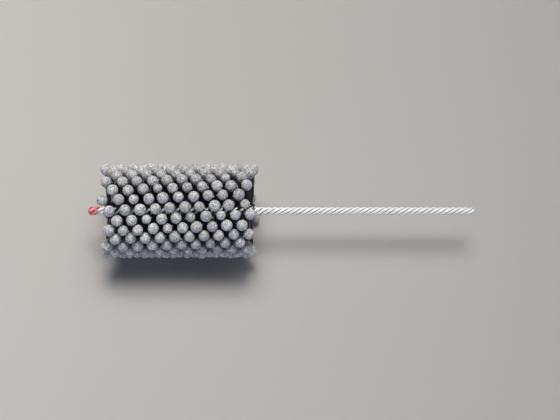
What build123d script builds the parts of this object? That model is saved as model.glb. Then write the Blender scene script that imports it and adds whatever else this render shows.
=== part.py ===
from build123d import *
import math
import os
from random import Random

# Flexible ball hone: four twisted steel wires grip fans of nylon filament, and each small bundle
# of filament carries an abrasive ball. The drive end of the stem is at the origin, the stem lies
# along X and the honing head is on the -X side. Lengths are in millimetres, angles in degrees.

# Overall sizes
overall_length = 203.0
brush_diameter = 50.4
brush_length = 76.0
tip_to_brush = 10.4

# Stem wires
wire_diameter = 1.52
wire_count = 4
stem_pitch = 13.4
head_pitch = 15.0
wire_gap = 0.04
spread_length = 8.0
upper_bevel = 25.0
lower_bevel = 40.0
bevel_side = 26.0
points_per_turn = 12

# Filaments
layer_thickness = 0.42
layer_gap = 0.03
fan_radius = 4.2
fan_width = 1.15
fan_margin = 1.2
root_gap = 0.3
bundle_root_diameter = 1.5
bundle_end_diameter = 2.2

# Abrasive balls
ball_diameter = 6.0
ball_variation = 0.2
neck_diameter = 2.7
neck_length = 0.3
socket_depth = 1.3
bond_gap = 0.02
balls_per_turn = 13
row_slant = 0.134
side_scatter = 0.42
depth_scatter = 0.35
end_flare = 1.2
flare_power = 5
free_space = 0.07
tries_per_ball = 30
seed = 11

# How far the filaments swing to either side, which the places of the balls leave room for
swing_angle = 45.0

# Dipped plastic tip
tip_length = 5.2
tip_wall = 0.42
tip_lobe = 0.5
tip_cover = 1.3
tip_gap = 0.04
tip_rounding = 1.5
nose_radius = 1.05
mouth_slant = 27.0
mouth_side = 26.0

os.makedirs("parts", exist_ok=True)


def save(piece, name):
    piece.part.label = name
    export_step(piece.part, f"parts/{name}.step")


# The closest two neighbouring wires come, when their centres wind at this radius
def wire_spacing(radius, pitch):
    steps = 400
    shortest = 2 * radius
    for step in range(-steps, steps + 1):
        turn = math.pi * step / steps
        along = pitch * turn / (2 * math.pi)
        angle = 2 * math.pi / wire_count - turn
        across = (radius * math.cos(angle), radius * math.sin(angle))
        shortest = min(shortest, math.dist((0, radius, 0), (along, *across)))
    return shortest


# The winding radius that keeps neighbouring wires apart by a gap
def winding_radius(gap, pitch):
    low = wire_diameter / 2
    high = 4 * (wire_diameter + gap)
    while high - low > 1e-4:
        middle = (low + high) / 2
        if wire_spacing(middle, pitch) < wire_diameter + gap:
            low = middle
        else:
            high = middle
    return high


stem_radius = winding_radius(wire_gap, stem_pitch)
head_radius = winding_radius(layer_thickness + 2 * layer_gap, head_pitch)
ball_radius = brush_diameter / 2 - ball_diameter / 2
pivot_radius = fan_radius + root_gap + bundle_root_diameter / 2
tip_radius = stem_radius + wire_diameter / 2 + tip_wall

# Stations along the stem, measured from the drive end towards the tip
brush_far = overall_length - tip_to_brush
brush_near = brush_far - brush_length
fan_near = brush_near - fan_margin
fan_far = brush_far + fan_margin
spread_start = fan_near - spread_length
tip_mouth = overall_length - tip_length
mouth_near = tip_mouth - tip_radius * math.tan(math.radians(mouth_slant))
wire_end = overall_length - tip_cover
head_middle = (brush_near + brush_far) / 2

# Twist of the wires in degrees for each millimetre of length
stem_rate = 360 / stem_pitch
head_rate = 360 / head_pitch


# A share from 0 to 1 that starts and ends its change smoothly
def eased(share):
    share = min(max(share, 0), 1)
    return share * share * (3 - 2 * share)


# The angle through which the twist has turned at a station
def twist(station):
    share = min(max((station - spread_start) / spread_length, 0), 1)
    change = spread_length * (share**3 - share**4 / 2)
    past = max(station - spread_start - spread_length, 0)
    return stem_rate * (station - past) + head_rate * past + (head_rate - stem_rate) * change


# The winding radius of the wires at a station
def wire_radius(station):
    opened = eased((station - spread_start) / spread_length)
    closed = eased((station - fan_far) / (mouth_near - fan_far))
    return stem_radius + (head_radius - stem_radius) * (opened - closed)


# A point at a station, at a radius and an angle about the stem
def around(station, radius, angle):
    turn = math.radians(angle)
    return Vector(-station, radius * math.cos(turn), radius * math.sin(turn))


# A plane whose Y runs from one point to another and whose X runs along the stem
def standing_plane(foot, head):
    upward = (head - foot).normalized()
    sideways = Vector(1, 0, 0).cross(upward).normalized()
    return Plane(origin=foot, x_dir=upward.cross(sideways), z_dir=sideways)


# A section drawn about the stem's axis, drawn out between two stations along the wires' twist
def twisted(section, near, far):
    placed = section.rotate(Axis.X, twist(far)).moved(Location((-far, 0, 0)))
    turn = twist(near) - twist(far)
    return Solid.extrude_linear_with_rotation(placed, (-far, 0, 0), (far - near, 0, 0), turn)


# A plane across the stem that faces the tip, leaned over by a slant towards an angle about the stem
def leaned_plane(station, slant, side):
    tip_way = math.cos(math.radians(slant))
    side_way = math.sin(math.radians(slant))
    toward = Vector(0, math.cos(math.radians(side)), math.sin(math.radians(side)))
    return Plane(origin=(-station, 0, 0), z_dir=Vector(-tip_way, 0, 0) + toward * side_way)


# Stem wires, each one swept along its own left-hand twist and pinched off at the drive end by
# two blades, which leave a bevel above the middle and one below it
point_step = min(stem_pitch, head_pitch) / points_per_turn
shear_reach = 2 * wire_diameter
point_count = math.ceil((wire_end + shear_reach) / point_step)
stations = [wire_end - (wire_end + shear_reach) * i / point_count for i in range(point_count + 1)]
upper_blade = leaned_plane(0, -upper_bevel, bevel_side)
lower_blade = leaned_plane(0, lower_bevel, bevel_side)
for wire in range(wire_count):
    start_angle = 360 * wire / wire_count
    route = [around(s, wire_radius(s), start_angle + twist(s)) for s in stations]
    with BuildPart() as stem_wire:
        with BuildLine() as centre_line:
            Spline(*route)
        with BuildSketch(Plane(origin=centre_line.line @ 0, z_dir=centre_line.line % 0)):
            Circle(wire_diameter / 2)
        sweep()
        split(bisect_by=upper_blade)
        split(bisect_by=lower_blade)
    save(stem_wire, f"stem_wire_{wire + 1}")

# Filament core: the stretch of every filament that the wires grip, one thin layer between each
# pair of wires, fanned out to the radius at which the bundles part
grip_edge = head_radius + wire_diameter / 2
layer_outline = [
    (0, layer_thickness / 2),
    (grip_edge, layer_thickness / 2),
    (fan_radius, fan_width / 2),
    (fan_radius, -fan_width / 2),
    (grip_edge, -layer_thickness / 2),
    (0, -layer_thickness / 2),
]
with BuildSketch(Plane.YZ) as layers:
    with PolarLocations(0, wire_count, start_angle=180 / wire_count):
        Polygon(*layer_outline, align=None)
    Circle(fan_radius, mode=Mode.INTERSECT)
with BuildPart() as filament_core:
    add(twisted(layers.sketch.face(), fan_near, fan_far))
save(filament_core, "filament_core")

# Dipped tip: a thin plastic coat that follows the four wires and closes over their cut ends. It
# was dipped at a slant, so its mouth leans over
wire_reach = wire_diameter / 2
lay = math.atan(2 * math.pi * stem_radius / head_pitch)
with BuildSketch(Plane.YZ) as coat:
    Circle(tip_radius - tip_lobe)
    with PolarLocations(stem_radius, wire_count):
        Circle(wire_reach + tip_wall)
with BuildSketch(Plane.YZ) as cavity:
    Circle(stem_radius)
    with PolarLocations(stem_radius, wire_count):
        Ellipse(wire_reach + tip_gap, wire_reach / math.cos(lay) + tip_gap)
with BuildPart() as tip_dip:
    add(twisted(coat.sketch.face(), mouth_near, overall_length))
    with BuildSketch(Plane.XZ) as envelope:
        with BuildLine():
            Polyline(
                (-overall_length, 0),
                (-overall_length, tip_radius - tip_rounding),
                (-overall_length + tip_rounding, tip_radius),
                (-mouth_near, tip_radius),
                (-mouth_near, 0),
                close=True,
            )
        make_face()
        nose = envelope.vertices().filter_by_position(Axis.X, -overall_length - 1, -tip_mouth - 1)
        fillet(nose.filter_by_position(Axis.Y, 0.1, tip_radius + 1), nose_radius)
    revolve(axis=Axis.X, mode=Mode.INTERSECT)
    cavity_end = wire_end + wire_reach * math.sin(lay) + tip_gap
    add(twisted(cavity.sketch.face(), mouth_near, cavity_end), mode=Mode.SUBTRACT)
    split(bisect_by=leaned_plane(tip_mouth, mouth_slant, mouth_side))
save(tip_dip, "tip_dip")

# Places of the balls: each row runs along the head and takes a ball at every second crossing with
# a fan of filaments, so neighbouring rows are staggered
row_count = 2 * balls_per_turn
row_step = 360 / row_count
crossing_step = 360 / (head_rate - row_slant)


def row_angle(row, station):
    return row_step * row + row_slant * (station - head_middle)


def fan_crossings(row):
    found = []
    for fan in range((row + 1) % 2, wire_count, 2):
        fan_angle = 360 * (fan + 0.5) / wire_count + twist(brush_near)
        behind = (row_angle(row, brush_near) - fan_angle) % 360
        station = brush_near + behind / (head_rate - row_slant)
        while station < brush_far:
            found.append(station)
            station += crossing_step
    return sorted(found)


# A ball's centre once its filaments have swung about their root
def swung(ball, angle):
    turn = math.radians(angle)
    foot = ball["foot"]
    reach = ball["centre"] - foot
    across = reach.Y * math.cos(turn) - reach.Z * math.sin(turn)
    upward = reach.Y * math.sin(turn) + reach.Z * math.cos(turn)
    return foot + Vector(reach.X, across, upward)


# The least room between a ball and those placed before it, at rest and at both ends of the swing
def room_around(ball, others):
    room = brush_diameter
    too_far = 2 * ball_diameter
    for other in others:
        if abs(ball["centre"].X - other["centre"].X) > too_far:
            continue
        touching = (ball["diameter"] + other["diameter"]) / 2
        for angle in (-swing_angle, 0, swing_angle):
            between = (swung(ball, angle) - swung(other, angle)).length
            room = min(room, between - touching)
    return room


# A ball with its centre, its diameter and the foot of its filaments. Slack sets how far it may
# stand from its even place on the crossing of its row and its fan
def ball_at(row, station, slack, chance):
    end_share = (station - head_middle) / (brush_length / 2)
    diameter = ball_diameter + slack * chance.uniform(-ball_variation, ball_variation)
    along = slack * chance.uniform(-side_scatter, side_scatter)
    aside = math.degrees(slack * chance.uniform(-side_scatter, side_scatter) / ball_radius)
    inward = slack * chance.uniform(0, depth_scatter)
    flare = slack * end_flare * chance.random() * end_share**flare_power
    angle = row_angle(row, station)
    centre_radius = brush_diameter / 2 - diameter / 2 - inward
    return {
        "foot": around(station, pivot_radius, angle),
        "centre": around(station + along + flare, centre_radius, angle + aside),
        "diameter": diameter,
    }


# The first try that leaves enough free space is kept, or else the one that leaves the most, and
# that ball is made smaller by what it lacks
def placed_ball(row, station, others, chance):
    best = None
    best_room = -brush_diameter
    for attempt in range(tries_per_ball):
        ball = ball_at(row, station, 1 - attempt / tries_per_ball, chance)
        room = room_around(ball, others)
        if room > best_room:
            best = ball
            best_room = room
        if room > free_space:
            break
    best["diameter"] -= 2 * max(free_space - best_room, 0)
    return best


def placed_rows():
    chance = Random(seed)
    rows = []
    placed = []
    for row in range(row_count):
        balls = []
        for station in fan_crossings(row):
            ball = placed_ball(row, station, placed, chance)
            placed.append(ball)
            balls.append(ball)
        rows.append(balls)
    return rows


# The direction from a circle's centre to where a line from an outside point touches the circle.
# Side is 1 for the place on the left, seen from the centre towards the point, and -1 for the right
def touching_angle(radius, across, along, side):
    return math.degrees(math.atan2(along, across) + side * math.acos(radius / math.hypot(across, along)))


# Profile of one bundle of filaments, from its round root to its end inside the ball
def bundle_profile(ball):
    plane = standing_plane(ball["foot"], ball["centre"])
    root = bundle_root_diameter / 2
    end = bundle_end_diameter / 2
    reach = (ball["centre"] - ball["foot"]).length
    top = reach - ball["diameter"] / 2 - neck_length + socket_depth - bond_gap
    touching = touching_angle(root, end, top, -1)
    with BuildSketch(plane) as profile:
        with BuildLine():
            skin = CenterArc((0, 0), root, -90, 90 + touching)
            Polyline(skin @ 1, (end, top), (0, top), skin @ 0)
        make_face()
    return profile.sketch


# Profile of one ball: a sphere that runs tangent into a short neck, with the socket of its bundle
def ball_profile(ball):
    plane = standing_plane(ball["foot"], ball["centre"])
    middle = (ball["centre"] - ball["foot"]).length
    radius = ball["diameter"] / 2
    neck = neck_diameter / 2
    bore = bundle_end_diameter / 2 + bond_gap
    mouth = middle - radius - neck_length
    touching = touching_angle(radius, neck, mouth - middle, 1)
    with BuildSketch(plane) as profile:
        with BuildLine():
            skin = CenterArc((0, middle), radius, touching, 90 - touching)
            Polyline(
                skin @ 1,
                (0, mouth + socket_depth),
                (bore, mouth + socket_depth),
                (bore, mouth),
                (neck, mouth),
                skin @ 0,
            )
        make_face()
    return profile.sketch


rows = placed_rows()
for number, balls in enumerate(rows, 1):
    with BuildPart() as filament_row:
        for ball in balls:
            revolve(bundle_profile(ball), axis=Axis(ball["foot"], ball["centre"] - ball["foot"]))
    save(filament_row, f"filament_row_{number:02d}")
    with BuildPart() as ball_row:
        for ball in balls:
            revolve(ball_profile(ball), axis=Axis(ball["foot"], ball["centre"] - ball["foot"]))
    save(ball_row, f"ball_row_{number:02d}")
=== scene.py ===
import math

import bmesh
import bpy
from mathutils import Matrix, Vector


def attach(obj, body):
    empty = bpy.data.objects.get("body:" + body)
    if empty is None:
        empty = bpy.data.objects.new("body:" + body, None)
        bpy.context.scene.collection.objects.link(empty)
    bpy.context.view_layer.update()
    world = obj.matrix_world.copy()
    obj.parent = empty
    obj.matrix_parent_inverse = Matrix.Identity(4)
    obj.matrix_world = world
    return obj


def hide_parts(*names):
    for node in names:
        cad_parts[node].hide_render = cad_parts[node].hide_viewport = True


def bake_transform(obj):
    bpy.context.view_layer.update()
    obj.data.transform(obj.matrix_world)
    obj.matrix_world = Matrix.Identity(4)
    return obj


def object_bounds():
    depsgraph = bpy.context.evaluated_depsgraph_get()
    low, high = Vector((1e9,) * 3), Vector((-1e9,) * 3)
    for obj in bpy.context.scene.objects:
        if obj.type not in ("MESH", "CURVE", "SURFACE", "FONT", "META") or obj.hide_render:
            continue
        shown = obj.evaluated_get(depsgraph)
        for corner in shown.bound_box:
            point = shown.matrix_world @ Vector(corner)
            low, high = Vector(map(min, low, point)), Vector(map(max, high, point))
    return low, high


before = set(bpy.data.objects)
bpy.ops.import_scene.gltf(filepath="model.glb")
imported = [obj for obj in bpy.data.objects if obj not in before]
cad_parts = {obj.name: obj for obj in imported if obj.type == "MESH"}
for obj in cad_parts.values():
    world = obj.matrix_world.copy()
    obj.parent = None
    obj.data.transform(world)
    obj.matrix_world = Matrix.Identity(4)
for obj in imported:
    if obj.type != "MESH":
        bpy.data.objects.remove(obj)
cadLow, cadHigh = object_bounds()
mm = 0.001
print("frame loaded:", len(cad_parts), "nodes")


# Camera at the photograph's angle, with the stem level and seen from above
shot = {
    "imageWidth": 560,
    "imageHeight": 420,
    "tipPixel": 88,  # the hone's left end
    "driveEndPixel": 474,  # its right end
    "axisPixel": 211,  # the stem's centre line, from the top
    "elevation": 64.0,  # degrees above the floor
    "distance": 0.65,
    "sensorWidth": 36,
    "clipStart": 0.01,
    "clipEnd": 20,
}


def makeCamera():
    length = cadHigh.x - cadLow.x
    perPixel = length / (shot["driveEndPixel"] - shot["tipPixel"])
    middle = cadLow.x + (shot["imageWidth"] / 2 - shot["tipPixel"]) * perPixel
    raised = (shot["axisPixel"] - shot["imageHeight"] / 2) * perPixel
    tilt = math.radians(shot["elevation"])
    back = Vector((0, -math.cos(tilt), math.sin(tilt)))
    up = Vector((0, math.sin(tilt), math.cos(tilt)))
    target = Vector((middle, 0, 0)) + up * raised
    data = bpy.data.cameras.new("camera")
    data.sensor_width = shot["sensorWidth"]
    data.lens = data.sensor_width * shot["distance"] / (shot["imageWidth"] * perPixel)
    data.clip_start, data.clip_end = shot["clipStart"], shot["clipEnd"]
    camera = bpy.data.objects.new("camera", data)
    camera.location = target + back * shot["distance"]
    camera.rotation_euler = (math.pi / 2 - tilt, 0, 0)
    bpy.context.scene.collection.objects.link(camera)
    bpy.context.scene.camera = camera


# Small helpers for node trees
def pick(sockets, key):
    if isinstance(key, int):
        return sockets[key]
    return next(socket for socket in sockets if socket.name == key and socket.enabled)


# An input is either a plain value or the socket that feeds it
def addNode(tree, kind, inputs=None, **settings):
    node = tree.nodes.new(kind)
    for key, value in settings.items():
        setattr(node, key, value)
    for key, value in (inputs or {}).items():
        socket = pick(node.inputs, key)
        if isinstance(value, bpy.types.NodeSocket):
            tree.links.new(value, socket)
        else:
            socket.default_value = value
    return node


def calc(tree, operation, a, b=0.0):
    return addNode(tree, "ShaderNodeMath", {0: a, 1: b}, operation=operation).outputs[0]


def vectorCalc(tree, operation, a, b):
    node = addNode(tree, "ShaderNodeVectorMath", {0: a, 1: b}, operation=operation)
    return node.outputs["Vector"]


def scaled(tree, vector, factor):
    inputs = {0: vector, "Scale": factor}
    return addNode(tree, "ShaderNodeVectorMath", inputs, operation="SCALE").outputs["Vector"]


def alongAxis(tree, axis, value):
    return addNode(tree, "ShaderNodeCombineXYZ", {axis: value}).outputs[0]


def remap(tree, value, limits, kind="LINEAR"):
    inputs = {"Value": value, **limits}
    return addNode(tree, "ShaderNodeMapRange", inputs, interpolation_type=kind).outputs["Result"]


def mixed(tree, share, low, high):
    node = addNode(tree, "ShaderNodeMix", {"Factor": share, "A": low, "B": high}, data_type="RGBA")
    return pick(node.outputs, "Result")


def colourRamp(tree, factor, stops):
    node = addNode(tree, "ShaderNodeValToRGB", {"Fac": factor})
    ramp = node.color_ramp
    while len(ramp.elements) < len(stops):
        ramp.elements.new(0.5)
    for element, (place, colour) in zip(ramp.elements, stops):
        element.position = place
        element.color = (*colour, 1)
    return node.outputs["Color"]


# The numbers that are the same all over a surface go straight on the shader's own sockets
def newMaterial(name, plain):
    material = bpy.data.materials.new(name)
    material.use_nodes = True
    tree = material.node_tree
    shader = tree.nodes["Principled BSDF"]
    for label, value in plain.items():
        shader.inputs[label].default_value = value
    return material, tree, shader


def newGroup(name, inputs, outputs):
    group = bpy.data.node_groups.new(name, "ShaderNodeTree")
    for label, value in inputs.items():
        socket = group.interface.new_socket(label, in_out="INPUT", socket_type="NodeSocketFloat")
        socket.default_value = value
    for label in outputs:
        group.interface.new_socket(label, in_out="OUTPUT", socket_type="NodeSocketFloat")
    return group, group.nodes.new("NodeGroupInput").outputs


def putOut(group, results):
    made = group.nodes.new("NodeGroupOutput")
    for label, socket in results.items():
        group.links.new(socket, made.inputs[label])


# Grain shared by the finishes, on object coordinates: a mottled mask, a height for bump, and a
# tone for each grain by itself
def makeGrainGroup():
    group, given = newGroup(
        "surfaceGrain", {"Size": 1.0, "Roughness": 0.6}, ["Mask", "Height", "Grain"]
    )
    place = addNode(group, "ShaderNodeTexCoord").outputs["Object"]
    perMetre = calc(group, "MULTIPLY", calc(group, "DIVIDE", 1.0, given["Size"]), 1 / mm)
    mottle = addNode(group, "ShaderNodeTexNoise", {
        "Vector": place, "Scale": perMetre, "Detail": 4.0, "Roughness": given["Roughness"],
    }).outputs["Fac"]
    grains = addNode(group, "ShaderNodeTexVoronoi", {"Vector": place, "Scale": perMetre}).outputs
    tones = addNode(group, "ShaderNodeSeparateColor", {"Color": grains["Color"]}).outputs
    height = calc(group, "SUBTRACT", mottle, grains["Distance"])
    putOut(group, {"Mask": mottle, "Height": height, "Grain": tones["Red"]})
    return group


grainGroup = makeGrainGroup()


def grain(tree, look):
    inputs = {"Size": look["grainSize"], "Roughness": look["grainRoughness"]}
    return addNode(tree, "ShaderNodeGroup", inputs, node_tree=grainGroup).outputs


# Painted shade mask shared by the twisted pieces: 0 in the grooves near the stem's axis, where
# shade is painted in, and 1 on the crests and on the faces across the ends
endLean = {"From Min": 0.58, "From Max": 0.72}  # how far a face turns along the stem there


def makeGrooveShadeGroup():
    group, given = newGroup("twistPaintedGrooveShade", {"Groove": 1.0, "Crest": 2.0}, ["Mask"])
    coordinates = addNode(group, "ShaderNodeTexCoord").outputs
    across = vectorCalc(group, "MULTIPLY", coordinates["Object"], (0.0, 1.0, 1.0))
    fromAxis = addNode(group, "ShaderNodeVectorMath", {0: across}, operation="LENGTH")
    inMm = calc(group, "MULTIPLY", fromAxis.outputs["Value"], 1 / mm)
    raised = {"From Min": given["Groove"], "From Max": given["Crest"]}
    crest = remap(group, inMm, raised, "SMOOTHSTEP")
    normal = addNode(group, "ShaderNodeSeparateXYZ", {0: coordinates["Normal"]}).outputs["X"]
    end = remap(group, calc(group, "ABSOLUTE", normal), endLean)
    putOut(group, {"Mask": calc(group, "MAXIMUM", crest, end)})
    return group


grooveShadeGroup = makeGrooveShadeGroup()


def paintedShadeMask(tree, look):
    inputs = {"Groove": look["grooveRadius"], "Crest": look["crestRadius"]}
    return addNode(tree, "ShaderNodeGroup", inputs, node_tree=grooveShadeGroup).outputs["Mask"]


# The tone that each ball, nib or strand was given
def ownTone(tree):
    return addNode(tree, "ShaderNodeAttribute", attribute_name="tone").outputs["Fac"]


def bump(tree, shader, height, look):
    node = addNode(tree, "ShaderNodeBump", {
        "Height": height, "Strength": look["bumpStrength"], "Distance": look["bumpDepth"],
    })
    tree.links.new(node.outputs["Normal"], shader.inputs["Normal"])


# Studio: a pale floor under the hone, two long soft lamps one inside the other, overhead and a
# little behind, a weak cool lamp low in front and a weak cool fill from all round
studio = {
    "floorColour": (0.492, 0.481, 0.466),
    "floorRoughness": 0.9,
    "floorRadius": 0.8,
    "floorSides": 64,
    "lampColour": (1.0, 0.965, 0.935),
    "lampDistance": 2.4,
    "lampTilt": 18.6,  # degrees behind the vertical
    "lampOver": -0.72,  # the place along the stem that the lamps are over
    "lampAim": -1.10,  # and the one that they point at
    "lampSpread": 60.0,
    "lampGap": 0.02,
    "innerLamp": {"length": 2.2, "width": 1.36, "power": 11.5},
    "outerLamp": {"length": 4.4, "width": 2.40, "power": 9.85},
    "frontColour": (0.70, 0.84, 1.18),
    "frontDistance": 1.5,
    "frontHeight": 6.0,  # degrees above the floor
    "frontOver": -0.15,
    "frontSpread": 180.0,
    "frontLamp": {"length": 1.6, "width": 0.55, "power": 6.7},
    "fillColour": (0.72, 0.86, 1.10),
    "fillStrength": 0.045,
    "backdropColour": (0.46, 0.452, 0.44),  # behind the floor, and in reflections
}


def addLamp(name, place, turn, colour, spread):
    given = studio[name]
    light = bpy.data.lights.new(name, "AREA")
    light.shape = "ELLIPSE"
    light.size = given["length"]
    light.size_y = given["width"]
    light.energy = given["power"]
    light.color = colour
    light.spread = math.radians(spread)
    lamp = bpy.data.objects.new(name, light)
    lamp.location = place
    lamp.rotation_euler = turn
    bpy.context.scene.collection.objects.link(lamp)


def lightFromAbove():
    tilt = math.radians(studio["lampTilt"])
    for name, away in (
        ("innerLamp", studio["lampDistance"] - studio["lampGap"]),
        ("outerLamp", studio["lampDistance"]),
    ):
        place = Vector((studio["lampOver"], away * math.sin(tilt), away * math.cos(tilt)))
        lean = math.atan2(studio["lampOver"] - studio["lampAim"], place.z)
        addLamp(name, place, (-tilt, lean, 0), studio["lampColour"], studio["lampSpread"])


def lightFromFront():
    rise = math.radians(studio["frontHeight"])
    away = studio["frontDistance"]
    place = Vector((studio["frontOver"], -away * math.cos(rise), away * math.sin(rise)))
    turn = (math.pi / 2 - rise, 0, 0)
    addLamp("frontLamp", place, turn, studio["frontColour"], studio["frontSpread"])


def makeFloor():
    sides = studio["floorSides"]
    radius = studio["floorRadius"]
    middle = (cadLow.x + cadHigh.x) / 2
    turns = [2 * math.pi * side / sides for side in range(sides)]
    rim = [(middle + radius * math.cos(turn), radius * math.sin(turn), cadLow.z) for turn in turns]
    mesh = bpy.data.meshes.new("floor")
    mesh.from_pydata(rim, [], [tuple(range(sides))])
    floor = bpy.data.objects.new("floor", mesh)
    bpy.context.scene.collection.objects.link(floor)
    paper = {"Roughness": studio["floorRoughness"], "Base Color": (*studio["floorColour"], 1)}
    mesh.materials.append(newMaterial("floorPaper", paper)[0])


# The fill lights the hone, and camera rays and reflections meet the backdrop
def makeWorld():
    world = bpy.data.worlds.new("world")
    bpy.context.scene.world = world
    world.use_nodes = True
    tree = world.node_tree
    fill = tree.nodes["Background"]
    fill.inputs["Color"].default_value = (*studio["fillColour"], 1)
    fill.inputs["Strength"].default_value = studio["fillStrength"]
    backdrop = addNode(tree, "ShaderNodeBackground", {"Color": (*studio["backdropColour"], 1)})
    rays = addNode(tree, "ShaderNodeLightPath").outputs
    mirrored = calc(tree, "MAXIMUM", rays["Is Glossy Ray"], rays["Is Transmission Ray"])
    seen = calc(tree, "MAXIMUM", rays["Is Camera Ray"], mirrored)
    both = addNode(tree, "ShaderNodeMixShader", {
        0: seen, 1: fill.outputs[0], 2: backdrop.outputs[0],
    })
    tree.links.new(both.outputs[0], tree.nodes["World Output"].inputs["Surface"])


makeCamera()
makeFloor()
lightFromAbove()
lightFromFront()
makeWorld()
bpy.context.scene.view_settings.view_transform = "Standard"
print("camera and studio made")


# Finishes. Each colour ramp is a list of places and colours, and grain sizes and the radii from
# the stem's axis are in millimetres
steelLook = {
    "plain": {
        "Metallic": 0.15,
        "Roughness": 0.38,
        "Diffuse Roughness": 0.8,
        "Sheen Weight": 1.0,
        "Specular IOR Level": 1.0,
    },
    "grainSize": 1.6,
    "grainRoughness": 0.7,
    "grooveRadius": 1.25,
    "crestRadius": 1.55,
    "paintedShadeColours": [(0.35, (0.12, 0.12, 0.118)), (0.65, (0.22, 0.22, 0.215))],  # painted shade in the grooves
    "crestColours": [(0.35, (0.97, 0.965, 0.95)), (0.65, (1.0, 1.0, 0.985))],  # bare zinc
    "bumpStrength": 0.25,
    "bumpDepth": 0.05 * mm,
}

redPlasticLook = {
    "plain": {"Roughness": 0.24, "Coat Weight": 0.6, "Coat Roughness": 0.1},
    "grainSize": 1.2,
    "grainRoughness": 0.6,
    "grooveRadius": 1.9,
    "crestRadius": 2.25,
    "paintedShadeColours": [(0.3, (0.36, 0.005, 0.02)), (0.7, (0.52, 0.02, 0.04))],  # painted shade in the grooves
    "crestColours": [(0.3, (0.80, 0.16, 0.18)), (0.7, (0.95, 0.30, 0.32))],  # red, paled on the crests by a painted highlight
    "bumpStrength": 0.2,
    "bumpDepth": 0.08 * mm,
}


# For the wires and the dipped tip, which follows them: painted shade in the grooves of the twist
def makeTwisted(name, look):
    material, tree, shader = newMaterial(name, look["plain"])
    surface = grain(tree, look)
    low = colourRamp(tree, surface["Mask"], look["paintedShadeColours"])
    high = colourRamp(tree, surface["Mask"], look["crestColours"])
    tree.links.new(mixed(tree, paintedShadeMask(tree, look), low, high), shader.inputs["Base Color"])
    bump(tree, shader, surface["Height"], look)
    return material


nylonLook = {
    "plain": {"Roughness": 0.42},
    "grainSize": 0.8,
    "grainRoughness": 0.6,
    "cleanColours": [(0.3, (0.006, 0.006, 0.007)), (0.7, (0.018, 0.018, 0.021))],
    "dustedColours": [(0.3, (0.16, 0.16, 0.15)), (0.7, (0.42, 0.41, 0.38))],
    "dustedTones": {"From Min": 0.92, "From Max": 0.98},
    "bumpStrength": 0.15,
    "bumpDepth": 0.02 * mm,
}


# A strand with a high tone of its own is dusted pale with abrasive
def makeNylon(name, look):
    material, tree, shader = newMaterial(name, look["plain"])
    surface = grain(tree, look)
    clean = colourRamp(tree, surface["Mask"], look["cleanColours"])
    dusted = colourRamp(tree, surface["Mask"], look["dustedColours"])
    dust = remap(tree, ownTone(tree), look["dustedTones"])
    tree.links.new(mixed(tree, dust, clean, dusted), shader.inputs["Base Color"])
    bump(tree, shader, surface["Height"], look)
    return material


abrasiveLook = {
    "plain": {
        "Roughness": 0.42,
        "Diffuse Roughness": 0.4,
        "Coat Weight": 0.4,
        "Coat Roughness": 0.22,
    },
    "grainSize": 0.62,
    "grainRoughness": 0.75,
    "bondColours": [
        (0.32, (0.20, 0.205, 0.225)), (0.5, (0.45, 0.455, 0.475)), (0.66, (0.72, 0.725, 0.735)),
    ],
    "grainColours": [
        (0.0, (0.10, 0.105, 0.12)), (0.25, (0.36, 0.365, 0.38)),
        (0.6, (0.63, 0.635, 0.65)), (0.95, (1.0, 1.0, 1.0)),
    ],
    "grainShare": 0.62,
    "ballTones": {"To Min": 0.85, "To Max": 1.12},
    "bumpStrength": 0.8,
    "bumpDepth": 0.2 * mm,
}


# Loose grains from dark to pale in a grey bond, with a tone of its own for each ball
def makeAbrasive(name, look):
    material, tree, shader = newMaterial(name, look["plain"])
    surface = grain(tree, look)
    bond = colourRamp(tree, surface["Mask"], look["bondColours"])
    grains = colourRamp(tree, surface["Grain"], look["grainColours"])
    gritty = mixed(tree, look["grainShare"], bond, grains)
    toned = scaled(tree, gritty, remap(tree, ownTone(tree), look["ballTones"]))
    tree.links.new(toned, shader.inputs["Base Color"])
    bump(tree, shader, surface["Height"], look)
    return material


steel = makeTwisted("galvanisedSteel", steelLook)
nylon = makeNylon("blackNylon", nylonLook)
redPlastic = makeTwisted("dippedRed", redPlasticLook)
abrasive = makeAbrasive("abrasiveGrit", abrasiveLook)


def dress(node, material):
    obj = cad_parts[node]
    obj.data.materials.clear()
    obj.data.materials.append(material)


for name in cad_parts:
    if name.startswith("stem_wire"):
        dress(name, steel)
dress("tip_dip", redPlastic)
dress("filament_core", nylon)
print("finishes made")


# Reading the CAD rows
weldDistance = 1e-7
rimDepth = 0.05 * mm  # points this near to a bundle's far end are its rim


def middleOf(points):
    return sum(points, Vector()) / len(points)


def distanceFromStem(point):
    return math.hypot(point.y, point.z)


def outwardAt(point):
    return Vector((0, point.y, point.z)).normalized()


# The solids of a CAD node, each one as a list of its points
def solidsOf(node):
    bm = bmesh.new()
    bm.from_mesh(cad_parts[node].data)
    bmesh.ops.remove_doubles(bm, verts=bm.verts, dist=weldDistance)
    seen = set()
    solids = []
    for start in bm.verts:
        if start in seen:
            continue
        seen.add(start)
        points, queue = [], [start]
        while queue:
            vert = queue.pop()
            points.append(vert.co.copy())
            for edge in vert.link_edges:
                other = edge.other_vert(vert)
                if other not in seen:
                    seen.add(other)
                    queue.append(other)
        solids.append(points)
    bm.free()
    return solids


# A bundle's root and direction, with the centre and diameter of the ball on its end
def readBundle(bundle, balls):
    root = min(bundle, key=distanceFromStem)
    reach = max((point - root).length for point in bundle)
    rim = [point for point in bundle if (point - root).length > reach - rimDepth]
    direction = (middleOf(rim) - root).normalized()
    end = root + direction * reach
    ball = min(balls, key=lambda points: (middleOf(points) - end).length)
    offsets = [point - root for point in ball]
    top = max(offset.dot(direction) for offset in offsets)
    radius = max((offset - direction * offset.dot(direction)).length for offset in offsets)
    return {
        "root": root,
        "direction": direction,
        "centre": root + direction * (top - radius),
        "diameter": 2 * radius,
    }


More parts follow.
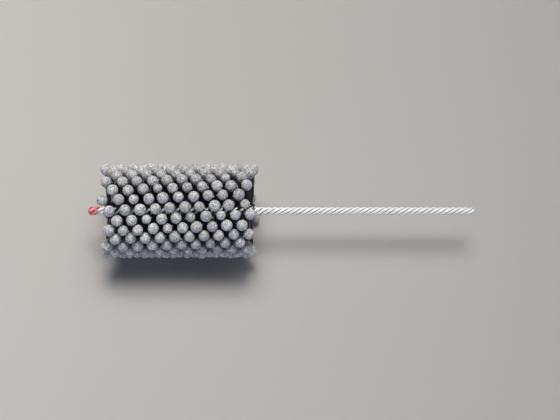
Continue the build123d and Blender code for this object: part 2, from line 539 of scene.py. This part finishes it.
def readRow(number):
    balls = solidsOf(f"ball_row_{number:02d}")
    found = [readBundle(bundle, balls) for bundle in solidsOf(f"filament_row_{number:02d}")]
    return sorted(found, key=lambda item: item["root"].x)


rowNumbers = [int(name[-2:]) for name in sorted(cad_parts) if name.startswith("ball_row")]
rows = {number: readRow(number) for number in rowNumbers}
print("bundles read:", sum(len(row) for row in rows.values()))


# Geometry Nodes helpers. Each tree also takes a seed and a material
def newGeometryTree(name, sizes):
    tree = bpy.data.node_groups.new(name, "GeometryNodeTree")
    shared = [("Seed", "Int", 1), ("Material", "Material", None)]
    for label, kind, value in [("Geometry", "Geometry", None), *sizes, *shared]:
        socket = tree.interface.new_socket(label, in_out="INPUT", socket_type="NodeSocket" + kind)
        if value is not None:
            socket.default_value = value
    tree.interface.new_socket("Geometry", in_out="OUTPUT", socket_type="NodeSocketGeometry")
    return tree, tree.nodes.new("NodeGroupInput").outputs


def named(tree, attribute, kind):
    node = addNode(tree, "GeometryNodeInputNamedAttribute", {"Name": attribute}, data_type=kind)
    return pick(node.outputs, "Attribute")


def randomShare(tree, seed, least, most):
    inputs = {"Min": least, "Max": most, "Seed": seed}
    node = addNode(tree, "FunctionNodeRandomValue", inputs, data_type="FLOAT")
    return pick(node.outputs, "Value")


def storeTone(tree, geometry, domain, value):
    return addNode(tree, "GeometryNodeStoreNamedAttribute", {
        "Geometry": geometry, "Name": "tone", "Value": value,
    }, data_type="FLOAT", domain=domain).outputs[0]


def turnedBy(tree, rotation, turn):
    return addNode(tree, "FunctionNodeRotateRotation", {
        "Rotation": rotation, "Rotate By": turn,
    }, rotation_space="LOCAL").outputs[0]


def moved(tree, geometry, offset):
    inputs = {"Geometry": geometry, "Offset": offset}
    return addNode(tree, "GeometryNodeSetPosition", inputs).outputs[0]


def finishTree(tree, geometry, material):
    smooth = addNode(tree, "GeometryNodeSetShadeSmooth", {"Geometry": geometry}).outputs[0]
    inputs = {"Geometry": smooth, "Material": material}
    finished = addNode(tree, "GeometryNodeSetMaterial", inputs).outputs[0]
    tree.links.new(finished, tree.nodes.new("NodeGroupOutput").inputs["Geometry"])


# Runs a geometry tree on a guide mesh and returns the result as a plain mesh object
def growMesh(name, guide, tree, values):
    carrier = bpy.data.objects.new(name + "Guide", guide)
    bpy.context.scene.collection.objects.link(carrier)
    modifier = carrier.modifiers.new("grow", "NODES")
    modifier.node_group = tree
    for item in tree.interface.items_tree:
        if item.in_out == "INPUT" and item.name in values:
            modifier[item.identifier] = values[item.name]
    bpy.context.view_layer.update()
    evaluated = carrier.evaluated_get(bpy.context.evaluated_depsgraph_get())
    mesh = bpy.data.meshes.new_from_object(evaluated)
    mesh.name = name
    obj = bpy.data.objects.new(name, mesh)
    bpy.data.objects.remove(carrier)
    bpy.context.scene.collection.objects.link(obj)
    return obj


# Abrasive balls: a lumpy ball on each guide point, drawn out into a short neck towards its bundle,
# and a pale nib on some of them. A ball is made 1 across and then scaled to its diameter
ballLook = {
    "shrink": 0.985,
    "subdivisions": 3,
    "lump": 0.13 * mm,
    "lumpSize": 2.2 * mm,
    "lumpDetail": 2.0,
    "lumpLevel": 0.6,  # noise above it swells the ball, and noise below it dents it
    "lumpGain": 2.0,
    "neck": 0.2,
    "neckPower": 4.0,
    "nib": 0.2,  # length of a nib, as a share of the ball's diameter
    "nibWidth": 0.085,
    "nibPoint": 0.01,
    "nibSides": 5,
    "nibFoot": 0.46,  # from the ball's centre
    "nibShare": 0.5,  # share of the balls that have one
    "nibLean": (1.1, 2.4),  # radians from the ball's top, towards a neighbour in its row
    "nibSwing": 0.6,  # radians to either side of the row
    "nibTone": 1.6,  # over 1, so as pale as the palest ball
    "sideSeed": 100.0,  # added to the seed for the choice of neighbour
}


def makeNeckedBall(tree, given):
    ball = addNode(tree, "GeometryNodeMeshIcoSphere", {
        "Radius": 0.5, "Subdivisions": ballLook["subdivisions"],
    })
    place = addNode(tree, "GeometryNodeInputPosition").outputs[0]
    upward = addNode(tree, "ShaderNodeSeparateXYZ", {0: place}).outputs["Z"]
    depth = calc(tree, "MAXIMUM", calc(tree, "MULTIPLY", upward, -2.0), 0.0)  # 1 at the bottom
    shape = calc(tree, "POWER", depth, ballLook["neckPower"])
    drawn = calc(tree, "MULTIPLY", shape, given["Neck"])
    down = alongAxis(tree, "Z", calc(tree, "MULTIPLY", drawn, -1.0))
    return moved(tree, ball.outputs["Mesh"], down)


# Z points along the bundle, and Y roughly along the row, towards one neighbour or the other
def aimBalls(tree, given):
    upright = addNode(tree, "FunctionNodeAlignRotationToVector", {
        "Vector": named(tree, "direction", "FLOAT_VECTOR"),
    }, axis="Z")
    alongRow = addNode(tree, "FunctionNodeAlignRotationToVector", {
        "Rotation": upright.outputs["Rotation"], "Vector": (1.0, 0.0, 0.0),
    }, axis="X", pivot_axis="Z")
    least, most = math.pi / 2 - ballLook["nibSwing"], math.pi / 2 + ballLook["nibSwing"]
    quarter = randomShare(tree, given["Seed"], least, most)
    otherSeed = calc(tree, "ADD", given["Seed"], ballLook["sideSeed"])
    side = calc(tree, "SIGN", randomShare(tree, otherSeed, -1.0, 1.0))
    turn = addNode(tree, "FunctionNodeAxisAngleToRotation", {
        "Axis": (0.0, 0.0, 1.0), "Angle": calc(tree, "MULTIPLY", quarter, side),
    })
    return turnedBy(tree, alongRow.outputs["Rotation"], turn.outputs[0])


def makeNibs(tree, given, points, aimed, size):
    nib = addNode(tree, "GeometryNodeMeshCone", {
        "Vertices": ballLook["nibSides"], "Radius Top": ballLook["nibPoint"],
        "Radius Bottom": given["Nib Width"], "Depth": given["Nib"],
    })
    outside = addNode(tree, "GeometryNodeTransform", {
        "Geometry": nib.outputs["Mesh"], "Translation": (0.0, 0.0, ballLook["nibFoot"]),
    })
    lean = alongAxis(tree, "X", randomShare(tree, given["Seed"], *ballLook["nibLean"]))
    tipped = addNode(tree, "FunctionNodeEulerToRotation", {"Euler": lean})
    chosen = addNode(tree, "FunctionNodeRandomValue", {
        "Probability": given["Nib Share"], "Seed": given["Seed"],
    }, data_type="BOOLEAN")
    nibs = addNode(tree, "GeometryNodeInstanceOnPoints", {
        "Points": points, "Selection": pick(chosen.outputs, "Value"),
        "Instance": outside.outputs["Geometry"],
        "Rotation": turnedBy(tree, aimed, tipped.outputs[0]), "Scale": size,
    })
    return storeTone(tree, nibs.outputs["Instances"], "INSTANCE", ballLook["nibTone"])


def makeLumps(tree, given, geometry):
    noise = addNode(tree, "ShaderNodeTexNoise", {
        "Scale": calc(tree, "DIVIDE", 1.0, given["Lump Size"]), "Detail": ballLook["lumpDetail"],
    })
    above = calc(tree, "SUBTRACT", noise.outputs["Fac"], ballLook["lumpLevel"])
    rise = calc(tree, "MULTIPLY", above, given["Lump"])
    normal = addNode(tree, "GeometryNodeInputNormal").outputs[0]
    outward = scaled(tree, normal, calc(tree, "MULTIPLY", rise, ballLook["lumpGain"]))
    return moved(tree, geometry, outward)


def makeBallTree():
    tree, given = newGeometryTree("abrasiveBalls", [
        ("Lump", "Float", ballLook["lump"]),
        ("Lump Size", "Float", ballLook["lumpSize"]),
        ("Neck", "Float", ballLook["neck"]),
        ("Nib", "Float", ballLook["nib"]),
        ("Nib Width", "Float", ballLook["nibWidth"]),
        ("Nib Share", "Float", ballLook["nibShare"]),
    ])
    points = addNode(tree, "GeometryNodeMeshToPoints", {"Mesh": given["Geometry"]}).outputs[0]
    size = named(tree, "diameter", "FLOAT")
    aimed = aimBalls(tree, given)
    placed = addNode(tree, "GeometryNodeInstanceOnPoints", {
        "Points": points, "Instance": makeNeckedBall(tree, given),
        "Rotation": aimed, "Scale": size,
    })
    tone = randomShare(tree, given["Seed"], 0.0, 1.0)
    balls = storeTone(tree, placed.outputs["Instances"], "INSTANCE", tone)
    nibs = makeNibs(tree, given, points, aimed, size)
    both = addNode(tree, "GeometryNodeJoinGeometry")
    tree.links.new(nibs, both.inputs[0])
    tree.links.new(balls, both.inputs[0])
    real = addNode(tree, "GeometryNodeRealizeInstances", {"Geometry": both.outputs[0]}).outputs[0]
    finishTree(tree, makeLumps(tree, given, real), given["Material"])
    return tree


# One point for each ball of a row, with the direction and diameter that its ball gets
def ballGuide(row):
    guide = bpy.data.meshes.new("ballGuide")
    guide.from_pydata([ball["centre"] for ball in row], [], [])
    guide.attributes.new("direction", "FLOAT_VECTOR", "POINT")
    guide.attributes.new("diameter", "FLOAT", "POINT")
    for index, ball in enumerate(row):
        guide.attributes["direction"].data[index].vector = ball["direction"]
        guide.attributes["diameter"].data[index].value = ball["diameter"] * ballLook["shrink"]
    return guide


# Filaments: each guide line becomes a loose bundle of strands that part a little on the way out
strandLook = {
    "count": 7,
    "diameter": 0.45 * mm,
    "sides": 6,
    "steps": 8,
    "innerRadius": 2.4 * mm,  # where a bundle starts, inside the core
    "sunk": 0.32,  # where it ends, short of the ball's centre, as a share of its diameter
    "rootSpread": 0.6 * mm,
    "endSpread": 0.95 * mm,
    "turn": 2.39996,  # radians from one strand to the next, the golden angle
    "wander": 0.5 * mm,
    "wanderGain": 3.0,
    "wanderSize": 9 * mm,
    "wanderStep": 7.3,  # keeps the strands' noise apart
}


# Where each strand lies in its bundle, on a disc that widens from root to end
def partStrands(tree, given, number, share):
    turn = calc(tree, "MULTIPLY", number, strandLook["turn"])
    ring = calc(tree, "DIVIDE", number, calc(tree, "SUBTRACT", given["Strands"], 0.5))
    widening = remap(tree, share, {"To Min": given["Root Spread"], "To Max": given["End Spread"]})
    reach = calc(tree, "MULTIPLY", calc(tree, "SQRT", ring), widening)
    tangent = addNode(tree, "GeometryNodeInputTangent").outputs[0]
    side = vectorCalc(tree, "CROSS_PRODUCT", tangent, (1.0, 0.0, 0.0))
    across = scaled(tree, side, calc(tree, "MULTIPLY", reach, calc(tree, "SINE", turn)))
    along = alongAxis(tree, "X", calc(tree, "MULTIPLY", reach, calc(tree, "COSINE", turn)))
    return vectorCalc(tree, "ADD", across, along)


# How far each strand strays from a straight line, most at half its length
def wanderStrands(tree, given, number, share):
    noise = addNode(tree, "ShaderNodeTexNoise", {
        "Vector": addNode(tree, "GeometryNodeInputPosition").outputs[0],
        "W": calc(tree, "MULTIPLY", number, strandLook["wanderStep"]),
        "Scale": 1 / strandLook["wanderSize"], "Detail": 0.0,
    }, noise_dimensions="4D")
    strayed = vectorCalc(tree, "SUBTRACT", noise.outputs["Color"], (0.5, 0.5, 0.5))
    arch = calc(tree, "SINE", calc(tree, "MULTIPLY", share, math.pi))
    loose = calc(tree, "MULTIPLY", arch, given["Wander"])
    return scaled(tree, strayed, calc(tree, "MULTIPLY", loose, strandLook["wanderGain"]))


def makeStrandTree():
    tree, given = newGeometryTree("nylonStrands", [
        ("Strands", "Int", strandLook["count"]),
        ("Diameter", "Float", strandLook["diameter"]),
        ("Root Spread", "Float", strandLook["rootSpread"]),
        ("End Spread", "Float", strandLook["endSpread"]),
        ("Wander", "Float", strandLook["wander"]),
    ])
    line = addNode(tree, "GeometryNodeMeshToCurve", {"Mesh": given["Geometry"]})
    copies = addNode(tree, "GeometryNodeDuplicateElements", {
        "Geometry": line.outputs["Curve"], "Amount": given["Strands"],
    }, domain="SPLINE")
    number = copies.outputs["Duplicate Index"]
    share = addNode(tree, "GeometryNodeSplineParameter").outputs["Factor"]
    apart = partStrands(tree, given, number, share)
    astray = wanderStrands(tree, given, number, share)
    parted = moved(tree, copies.outputs["Geometry"], vectorCalc(tree, "ADD", apart, astray))
    toned = storeTone(tree, parted, "CURVE", randomShare(tree, given["Seed"], 0.0, 1.0))
    section = addNode(tree, "GeometryNodeCurvePrimitiveCircle", {
        "Resolution": strandLook["sides"], "Radius": calc(tree, "DIVIDE", given["Diameter"], 2.0),
    })
    tubes = addNode(tree, "GeometryNodeCurveToMesh", {
        "Curve": toned, "Profile Curve": section.outputs["Curve"], "Fill Caps": True,
    })
    finishTree(tree, tubes.outputs[0], given["Material"])
    return tree


# One polyline for each bundle, from inside the core to inside its ball
def strandGuide(row):
    points, edges = [], []
    for ball in row:
        root = ball["root"]
        start = Vector((root.x, 0, 0)) + outwardAt(root) * strandLook["innerRadius"]
        stop = ball["centre"] - ball["direction"] * ball["diameter"] * strandLook["sunk"]
        first = len(points)
        for step in range(strandLook["steps"] + 1):
            points.append(start.lerp(stop, step / strandLook["steps"]))
            if step:
                edges.append((first + step - 1, first + step))
    guide = bpy.data.meshes.new("strandGuide")
    guide.from_pydata(points, edges, [])
    return guide


ballTree = makeBallTree()
strandTree = makeStrandTree()
for number, row in rows.items():
    body = f"row_{number:02d}"
    coated = {"Seed": number, "Material": abrasive}
    balls = growMesh(f"balls.{number:02d}", ballGuide(row), ballTree, coated)
    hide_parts(f"ball_row_{number:02d}")
    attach(balls, body)
    bare = {"Seed": number, "Material": nylon}
    strands = growMesh(f"strands.{number:02d}", strandGuide(row), strandTree, bare)
    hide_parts(f"filament_row_{number:02d}")
    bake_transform(strands)
print("balls and strands grown")
